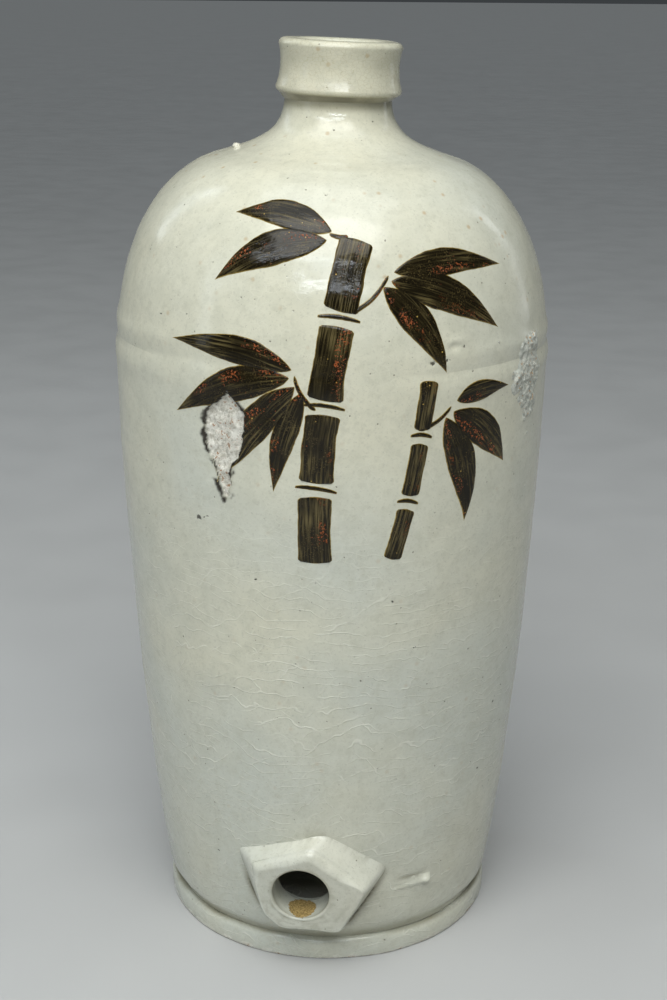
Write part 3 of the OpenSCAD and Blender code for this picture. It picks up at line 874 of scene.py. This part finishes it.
class Shader:
    """A short way to write node trees: every method adds one node and returns its output."""

    def __init__(self, name):
        self.material = bpy.data.materials.new(name)
        self.material.use_nodes = True
        self.tree = self.material.node_tree
        self.bsdf = self.tree.nodes["Principled BSDF"]
        self.color = None
        position = self.add("ShaderNodeTexCoord").outputs["Object"]
        self.place = self.vector("SCALE", position, scale=1 / MM)

    def feed(self, socket, value):
        if isinstance(value, bpy.types.NodeSocket):
            self.tree.links.new(value, socket)
        elif isinstance(value, tuple) and len(value) == 3 and socket.type == "RGBA":
            socket.default_value = (*value, 1)
        else:
            socket.default_value = value

    def add(self, kind, inputs=None, **settings):
        """A node with settings, whose inputs get sockets or plain values."""
        node = self.tree.nodes.new(kind)
        for key, value in settings.items():
            setattr(node, key, value)
        for key, value in (inputs or {}).items():
            self.feed(node.inputs[key], value)
        return node

    def math(self, operation, a, b=0, clamp=False):
        return self.add("ShaderNodeMath", {0: a, 1: b}, operation=operation, use_clamp=clamp).outputs[0]

    def times(self, a, b, clamp=False):
        return self.math("MULTIPLY", a, b, clamp)

    def plus(self, a, b, clamp=False):
        return self.math("ADD", a, b, clamp)

    def larger(self, a, b):
        return self.math("MAXIMUM", a, b)

    def total(self, *parts):
        """The sum of sockets, each times its weight."""
        result = self.times(*parts[0])
        for socket, weight in parts[1:]:
            result = self.plus(result, self.times(socket, weight))
        return result

    def vector(self, operation, a, b=None, scale=None, output="Vector"):
        inputs = {0: a, 1: b, "Scale": scale}
        inputs = {key: value for key, value in inputs.items() if value is not None}
        return self.add("ShaderNodeVectorMath", inputs, operation=operation).outputs[output]

    def scaled(self, size, where, stretch):
        """The place, or where, in units of size that differ by direction."""
        return self.vector("MULTIPLY", where or self.place, tuple(1 / (size * k) for k in stretch))

    def noise(self, size, detail=2, roughness=0.5, where=None, stretch=(1, 1, 1), distort=0):
        """Noise from 0 to 1 with features `size` millimetres long."""
        return self.add("ShaderNodeTexNoise", {
            "Vector": self.scaled(size, where, stretch), "Scale": 1, "Detail": detail,
            "Roughness": roughness, "Distortion": distort}).outputs["Fac"]

    def cells(self, size, feature="F1", where=None, stretch=(1, 1, 1)):
        """Cell pattern with cells `size` millimetres across; distances are in cells."""
        inputs = {"Vector": self.scaled(size, where, stretch), "Scale": 1}
        return self.add("ShaderNodeTexVoronoi", inputs, feature=feature).outputs["Distance"]

    def wander(self, amount, size):
        """The place, moved about by noise, for lines that wave."""
        where = self.vector("SCALE", self.place, scale=1 / size)
        noise = self.add("ShaderNodeTexNoise", {"Vector": where, "Detail": 2, "Scale": 1}).outputs["Color"]
        moved = self.vector("SUBTRACT", noise, (0.5, 0.5, 0.5))
        return self.vector("ADD", self.place, self.vector("SCALE", moved, scale=amount))

    def steps(self, value, low, high, out_low=0, out_high=1):
        """out_low below low, out_high above high and an eased step between; low may be the larger."""
        inputs = dict(enumerate((value, low, high, out_low, out_high)))
        return self.add("ShaderNodeMapRange", inputs, interpolation_type="SMOOTHSTEP").outputs[0]

    def patches(self, size, detail, low, high, out_low=0, out_high=1, roughness=0.5, where=None):
        """Noise sharpened into patches: out_low below low, out_high above high."""
        return self.steps(self.noise(size, detail, roughness, where), low, high, out_low, out_high)

    def swing(self, size, detail, where, amount):
        """Noise between minus amount and amount."""
        return self.times(self.math("SUBTRACT", self.noise(size, detail, where=where), 0.5), 2 * amount)

    def hairlines(self, direction, spacing, swing, ripple, cover):
        """Thin wandering lines square to direction, broken up so that they cover part of the surface."""
        along = self.vector("DOT_PRODUCT", self.place, direction, output="Value")
        shift = self.vector("ADD", self.place, tuple(spacing * 11 * d for d in direction))
        phase = self.plus(along, self.plus(self.swing(36, 1, shift, swing), self.swing(9, 2, shift, ripple)))
        phase = self.math("FRACT", self.math("DIVIDE", phase, spacing))
        gap = self.times(self.math("ABSOLUTE", self.math("SUBTRACT", phase, 0.5)), spacing)
        return self.times(self.steps(gap, 0.3, 0.06), self.patches(13, 2, cover, cover + 0.14, where=shift))

    def spots(self, marks):
        """Small ragged spots on the wall, given by azimuth in degrees, height and half width."""
        moved, spots = self.wander(1.9, 1.3), 0
        for az, z, half_w in marks:
            centre = wall_points(math.radians(az), PROFILE.s_at(z))
            away = self.vector("SUBTRACT", moved, tuple(float(v) for v in centre))
            away = self.vector("MULTIPLY", away, (1 / half_w, 1 / half_w, 1.4 / half_w))
            spots = self.larger(self.steps(self.vector("LENGTH", away, output="Value"), 1.15, 0.6), spots)
        return spots

    def blend(self, factor, a, b):
        return self.add("ShaderNodeMix", {0: factor, 6: a, 7: b}, data_type="RGBA").outputs[2]

    def paint(self, amount, tone, strength=None):
        """Blends the colour so far toward tone, a colour or a socket."""
        amount = amount if strength is None else self.times(amount, strength)
        self.color = self.blend(amount, self.color, tone)

    def attribute(self, name):
        return self.add("ShaderNodeAttribute", attribute_name=name).outputs["Fac"]

    def finish(self, roughness, height_mm=None, ior=1.5):
        """Joins up the shader, with a bump where height_mm is given."""
        if height_mm is not None:
            bump = self.add("ShaderNodeBump", {"Distance": MM, "Height": height_mm})
            self.feed(self.bsdf.inputs["Normal"], bump.outputs[0])
        for key, value in (("Base Color", self.color), ("Roughness", roughness), ("IOR", ior)):
            self.feed(self.bsdf.inputs[key], value)
        return self.material


def bare_clay_color(m):
    """Gritty pale clay with rust specks and dark pits."""
    glazed = m.color
    m.color = m.blend(m.patches(1.6, 4, 0.34, 0.6, roughness=0.7), (0.46, 0.43, 0.35), (0.8, 0.775, 0.69))
    rust = m.times(m.patches(1.6, 4, 0.545, 0.59, roughness=0.7), m.patches(6, 2, 0.45, 0.53))
    m.paint(rust, (0.31, 0.15, 0.045), 0.9)
    m.paint(m.patches(0.9, 3, 0.37, 0.29, roughness=0.7), (0.09, 0.07, 0.045), 0.75)
    clay, m.color = m.color, glazed
    return clay


def pale_glaze(name, warm, cool, craze_color, craze_amount, tan, lines=1, net_size=3.4, net_low=0.4,
               marks=(), blisters=()):
    """Pale crackled glaze; its attribute bare turns it to bare clay, and its attribute for thick glaze and
    shade darkens it as thicker glaze and as painted shade.
    """
    m = Shader(name)
    height = m.add("ShaderNodeSeparateXYZ", {0: m.place}).outputs[2]
    tone = m.plus(m.noise(75, 3), m.steps(height, 40, 330, -0.06, 0.12))
    m.color = m.blend(m.steps(tone, 0.28, 0.78), cool, warm)
    m.paint(m.patches(9, 5, 0.35, 0.7, 0, 0.24, roughness=0.6), (0.42, 0.42, 0.33))
    grain = m.noise(1.1, 3, 0.7)
    m.paint(m.steps(grain, 0.52, 0.75, 0, 0.35), (0.33, 0.32, 0.26))
    # tan freckles, more of them high up
    freckle = m.times(m.steps(m.cells(7), 0.2, 0.05), m.patches(17, 2, 0.5, 0.6))
    m.paint(m.times(freckle, m.steps(height, 240, 330, 0.25, tan)), (0.47, 0.34, 0.19))
    # small iron specks and pinholes
    wobbly = m.wander(1, 1.2)
    speck = m.times(m.steps(m.cells(4.2, where=wobbly), 0.105, 0.05), m.patches(9, 2, 0.5, 0.57))
    m.paint(speck, (0.11, 0.095, 0.07), 0.8)
    dust = m.times(m.patches(0.7, 2, 0.66, 0.72, roughness=0.7), m.patches(13, 2, 0.42, 0.6))
    m.paint(dust, (0.2, 0.18, 0.13), 0.55)
    m.paint(m.patches(3.6, 3, 0.48, 0.72, 0, 0.3, roughness=0.6), (0.45, 0.44, 0.34))
    # long wavy crackle on the lower body: nearly level hairlines, tied by slanting ones, painted lighter as a
    # painted highlight on their raised edges
    level = m.hairlines((0.06, -0.12, 1), 4.6, 12, 3.4, 0.38)
    rising = m.hairlines((-0.5, 0.25, 0.75), 7, 10, 3, 0.47)
    falling = m.hairlines((0.5, -0.35, 0.65), 11, 10, 3.5, 0.52)
    craze = m.larger(level, m.larger(rising, falling))
    craze = m.times(craze, m.steps(height, 225, 130, 0, lines))
    m.paint(craze, (0.78, 0.77, 0.67), 0.42)
    # a fine net everywhere, stained on the collar
    net = m.cells(net_size, "DISTANCE_TO_EDGE", m.wander(2.6, 6), (1.3, 1.3, 0.8))
    net = m.times(m.steps(net, 0.055, 0.015), m.patches(12, 2, net_low, net_low + 0.2))
    net = m.times(net, craze_amount)
    m.paint(net, craze_color)
    blister = m.spots(blisters)
    m.paint(blister, (0.88, 0.87, 0.8), 0.6)
    # thick glaze and painted shade, dark marks, and bare clay with an ochre deposit
    pool_and_shade = m.attribute("pool_and_shade")
    m.paint(m.times(pool_and_shade, 0.72, clamp=True), (0.235, 0.215, 0.14))
    # values above 0.85 turn near black: painted shadow in the deepest creases under the collar bead and round
    # the boss
    m.paint(m.steps(pool_and_shade, 0.85, 1.5), (0.05, 0.047, 0.033))
    spots = m.spots(marks)
    m.paint(m.larger(m.attribute("dark"), m.times(spots, 0.85)), (0.03, 0.024, 0.017))
    bare = m.attribute("bare")
    clay = m.larger(bare, 0)
    m.paint(clay, bare_clay_color(m))
    ochre = m.steps(bare, -0.25, -0.7)
    grains = m.patches(0.8, 3, 0.36, 0.62, roughness=0.7)
    m.paint(ochre, m.blend(grains, (0.24, 0.16, 0.05), (0.52, 0.37, 0.14)))
    dry = m.larger(clay, ochre)
    roughness = m.plus(m.patches(18, 3, 0.3, 0.7, 0.1, 0.24), m.times(dry, 0.65), clamp=True)
    relief_mm = m.total((m.noise(4.2, 3), 0.1), (grain, 0.022), (speck, -0.12), (craze, 0.14), (net, 0.05),
                        (spots, -0.3), (blister, 0.5))
    grit = m.times(m.noise(0.9, 4, 0.75), m.times(dry, 0.55))
    return m.finish(roughness, m.plus(relief_mm, grit))


def iron_glaze():
    """Brushed black-brown glaze: faint streaks, gold grain, rust specks on one side, a golden edge."""
    m = Shader("iron_glaze_brushed")
    stroke = m.add("ShaderNodeUVMap", uv_map="stroke").outputs[0]
    edge, dry, side = m.attribute("edge"), m.attribute("dry"), m.attribute("side")
    bristle = m.noise(1.3, 3, 0.6, stroke, (12, 0.6, 1), 0.3)
    streak = m.steps(m.plus(bristle, m.times(dry, 0.15)), 0.51, 0.77)
    streak = m.times(streak, m.patches(15, 2, 0.36, 0.62, 0.2, 0.95))
    m.color = m.blend(m.noise(6, 3), (0.004, 0.003, 0.0018), (0.016, 0.012, 0.004))
    m.paint(streak, (0.135, 0.105, 0.042))
    grain = m.times(m.patches(0.55, 3, 0.54, 0.68, roughness=0.7), m.patches(7, 2, 0.4, 0.62))
    m.paint(grain, (0.125, 0.092, 0.035), 0.8)
    band = m.times(m.steps(side, 0.05, -0.35), m.steps(side, -0.92, -0.7))
    rust = m.plus(m.noise(0.85, 3, 0.7), m.times(band, 0.11))
    rust = m.times(m.steps(rust, 0.655, 0.71), m.patches(11, 2, 0.47, 0.6))
    m.paint(rust, (0.36, 0.085, 0.02), 0.9)
    gold = m.times(m.steps(m.cells(3.1), 0.11, 0.05), m.patches(8, 1, 0.52, 0.58))
    m.paint(gold, (0.5, 0.33, 0.08))
    rim = m.plus(edge, m.times(m.math("SUBTRACT", m.noise(1.6, 2), 0.5), 0.5))
    m.paint(m.steps(rim, 0.5, 0.18), (0.2, 0.13, 0.025))
    m.paint(m.steps(rim, 0.2, 0.02), (0.5, 0.42, 0.19))
    roughness = m.plus(m.steps(bristle, 0.4, 0.75, 0.09, 0.24), m.times(rust, 0.2))
    return m.finish(roughness, m.total((bristle, 0.06), (m.noise(2.2, 2), 0.07), (rust, 0.05)), 1.33)


def kiln_grit():
    """Grit melted into the glaze: pale grains, grey hollows and orange specks."""
    m = Shader("kiln_grit_fused")
    grain = m.noise(1.5, 4, 0.7)
    m.color = m.blend(m.steps(grain, 0.36, 0.6), (0.33, 0.34, 0.29), (0.66, 0.66, 0.58))
    m.paint(m.patches(5, 2, 0.4, 0.62, 0, 0.45), (0.5, 0.52, 0.46))
    rust = m.times(m.patches(1.3, 3, 0.56, 0.64, roughness=0.65), m.patches(6, 2, 0.47, 0.56))
    m.paint(rust, (0.46, 0.24, 0.07), 0.85)
    m.paint(m.patches(1, 3, 0.38, 0.3, roughness=0.7), (0.1, 0.09, 0.065), 0.7)
    return m.finish(m.steps(grain, 0.3, 0.7, 0.45, 0.25), m.times(m.noise(0.8, 4, 0.7), 0.3))


def floor_paper():
    m = Shader("floor_paper")
    m.color = m.blend(m.noise(240, 2), (0.45, 0.45, 0.44), (0.51, 0.51, 0.5))
    return m.finish(m.patches(60, 2, 0.3, 0.7, 0.55, 0.7))


# ---- stage

def floor():
    bm = bmesh.new()
    bmesh.ops.create_grid(bm, x_segments=8, y_segments=8, size=60)
    mesh = bpy.data.meshes.new("floor")
    bm.to_mesh(mesh)
    bm.free()
    mesh.materials.append(floor_paper())
    add_object("floor", mesh)


def soft_box(name, azimuth, elevation, distance, size, power, color, target_z):
    """An area light that looks at the bottle's axis at height target_z; azimuth 0 is -Y."""
    az, up = math.radians(azimuth), math.radians(elevation)
    out = Vector((math.sin(az) * math.cos(up), -math.cos(az) * math.cos(up), math.sin(up)))
    light = bpy.data.lights.new(name, "AREA")
    light.shape, light.size, light.size_y = "RECTANGLE", size[0], size[1]
    light.energy, light.color = power, color
    box = add_object(name, light)
    box.location = Vector((0, 0, target_z)) + out * distance
    box.rotation_euler = out.to_track_quat("Z", "Y").to_euler()


def lights():
    soft_box("overhead", 0, 80, 1.3, (1.2, 0.9), 3.5, (0.98, 1, 0.97), 0.3)
    soft_box("front_high", 3, 54, 1.3, (1.3, 0.55), 11.5, (1, 0.99, 0.94), 0.3)
    soft_box("strip_high", -9, 36, 1.25, (1.2, 0.05), 4.2, (0.86, 0.93, 1), 0.32)
    soft_box("strip_low", 6, 25, 1.3, (0.85, 0.04), 2.6, (0.86, 0.93, 1), 0.32)
    soft_box("left_strip", -117, 32, 1.3, (0.12, 0.8), 1, (0.8, 0.9, 1), 0.26)
    soft_box("right_strip", 126, 20, 1.3, (0.1, 1), 0.6, (0.9, 0.95, 1), 0.22)
    soft_box("left_fill", -60, 14, 1.5, (0.25, 0.9), 1, (0.78, 0.89, 1), 0.2)
    ceiling = bpy.data.lights.new("ceiling", "SUN")
    ceiling.energy, ceiling.angle, ceiling.color = 0.95, math.radians(60), (0.9, 0.96, 1)
    add_object("ceiling", ceiling).rotation_euler = (math.radians(12), 0, 0)
    world = bpy.data.worlds.new("studio")
    world.use_nodes = True
    background = world.node_tree.nodes["Background"]
    background.inputs[0].default_value = (0.72, 0.79, 0.84, 1)
    background.inputs[1].default_value = 0.06
    bpy.context.scene.world = world


def camera():
    """The photograph's view: pitch, azimuth, distance and roll of a camera fitted to the outline."""
    azimuth, pitch, roll = math.radians(7.5), math.radians(17.74), math.radians(0.46)
    distance, height, side = 0.6707, 0.3996, 0.00133
    flat = Vector((-math.sin(azimuth), math.cos(azimuth), 0))
    right = Vector((math.cos(azimuth), math.sin(azimuth), 0))
    forward = flat * math.cos(pitch) - Vector((0, 0, math.sin(pitch)))
    up = right.cross(forward)
    x_axis = right * math.cos(roll) + up * math.sin(roll)
    y_axis = up * math.cos(roll) - right * math.sin(roll)
    data = bpy.data.cameras.new("camera")
    data.sensor_fit, data.sensor_height, data.lens = "VERTICAL", 36, 57.6
    data.clip_start, data.clip_end = 0.01, 50
    view = add_object("camera", data)
    place = right * side - flat * distance + Vector((0, 0, height))
    turn = Matrix((x_axis, y_axis, -forward)).transposed()
    view.matrix_world = Matrix.Translation(place) @ turn.to_4x4()
    bpy.context.scene.camera = view


def build():
    camera()
    lights()
    floor()
    glaze = pale_glaze("pale_glaze_crackled", (0.655, 0.632, 0.495), (0.565, 0.58, 0.505), (0.7, 0.69, 0.58),
                       0.22, 0.75, marks=DARK_MARKS, blisters=LIGHT_MARKS)
    # the boss's glaze, without crackle, is made lighter than the body's: painted light for the top light on
    # its roof
    plain = pale_glaze("pale_glaze_smooth_brightened", (0.7, 0.68, 0.56), (0.62, 0.63, 0.55), (0.74, 0.73, 0.62),
                       0.15, 0.75, lines=0)
    collar = pale_glaze("collar_glaze_crazed", (0.62, 0.59, 0.455), (0.575, 0.585, 0.475), (0.4, 0.35, 0.21),
                        0.36, 0.6, net_size=1.8, net_low=0.28)
    crust = kiln_grit()
    clay = pale_glaze("clay_unglazed", (0.55, 0.52, 0.42), (0.46, 0.46, 0.4), (0.4, 0.35, 0.26), 0.3, 0.5)
    iron = iron_glaze()
    base_disc(clay)
    for make in (foot_ring, lower_wall, shoulder_wall, neck_tube):
        make(glaze)
    mouth_collar(collar)
    tap_boss(plain)
    clay_smear(glaze)
    kiln_crust(crust)
    shoulder_drip(glaze)
    culms = culm_strokes(CULM, 1) + culm_strokes(THIN_CULM, 7)
    rings = ring_strokes(CULM, 12) + ring_strokes(THIN_CULM, 16)
    painted_piece("bamboo_culms", culms, iron, "painted_culms")
    painted_piece("bamboo_culm_rings", rings, iron, "painted_culm_rings")
    painted_piece("bamboo_twigs", twig_strokes(), iron, "painted_twigs")
    painted_piece("bamboo_leaves", leaf_strokes(), iron, "painted_leaves")
    bpy.context.scene.view_settings.view_transform = "Standard"


build()
